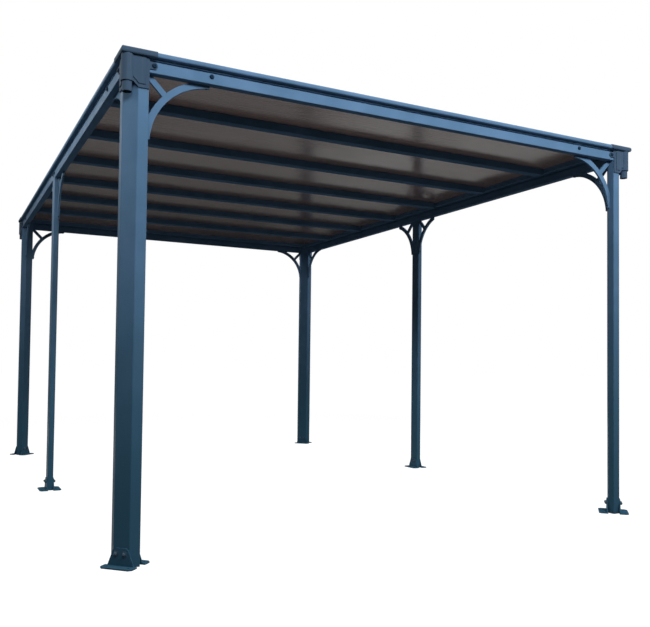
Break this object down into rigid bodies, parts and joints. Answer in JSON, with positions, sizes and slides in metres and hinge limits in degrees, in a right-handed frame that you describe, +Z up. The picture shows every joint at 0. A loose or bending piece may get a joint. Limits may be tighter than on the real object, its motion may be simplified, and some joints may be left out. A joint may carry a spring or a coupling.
{
  "type": "garden gazebo",
  "caption": "Open flat-roofed garden gazebo: slim metal posts on foot plates, curved fan brackets, a gutter rim with corner outlets and tinted roof sheets between glazing bars.",
  "frame": {"origin": "on the ground, under the middle of the roof", "axes": "+Y along the long side towards the back, +X across to the right seen from the front, +Z up"},
  "size_m": [3.0454, 4.3454, 2.1635],
  "materials": {
    "frame": "slate blue powder coat, satin",
    "moulding": "slate blue moulded plastic, satin",
    "roof_sheet": "bronze-grey tinted polycarbonate, glossy"
  },
  "bodies": {
    "root": {"back_beam": "frame", "back_left_fan_brackets": "frame", "back_left_foot_plates": "frame", "back_left_gutter_head": "moulding", "back_left_post": "frame", "back_right_fan_brackets": "frame", "back_right_foot_plates": "frame", "back_right_gutter_head": "moulding", "back_right_post": "frame", "back_rim": "frame", "corner_caps": "moulding", "front_beam": "frame", "front_left_fan_brackets": "frame", "front_left_foot_plates": "frame", "front_left_gutter_head": "moulding", "front_left_post": "frame", "front_right_fan_brackets": "frame", "front_right_foot_plates": "frame", "front_right_gutter_head": "moulding", "front_right_post": "frame", "front_rim": "frame", "glazing_bar_1": "frame", "glazing_bar_2": "frame", "glazing_bar_3": "frame", "glazing_bar_4": "frame", "glazing_bar_5": "frame", "glazing_bar_6": "frame", "left_beam": "frame", "left_gutter": "frame", "left_middle_fan_brackets": "frame", "left_middle_foot_plates": "frame", "left_middle_post": "frame", "right_beam": "frame", "right_gutter": "frame", "right_middle_fan_brackets": "frame", "right_middle_foot_plates": "frame", "right_middle_post": "frame", "roof_sheet_1": "roof_sheet", "roof_sheet_2": "roof_sheet", "roof_sheet_3": "roof_sheet", "roof_sheet_4": "roof_sheet", "roof_sheet_5": "roof_sheet", "roof_sheet_6": "roof_sheet", "roof_sheet_7": "roof_sheet"}
  },
  "joints": []
}
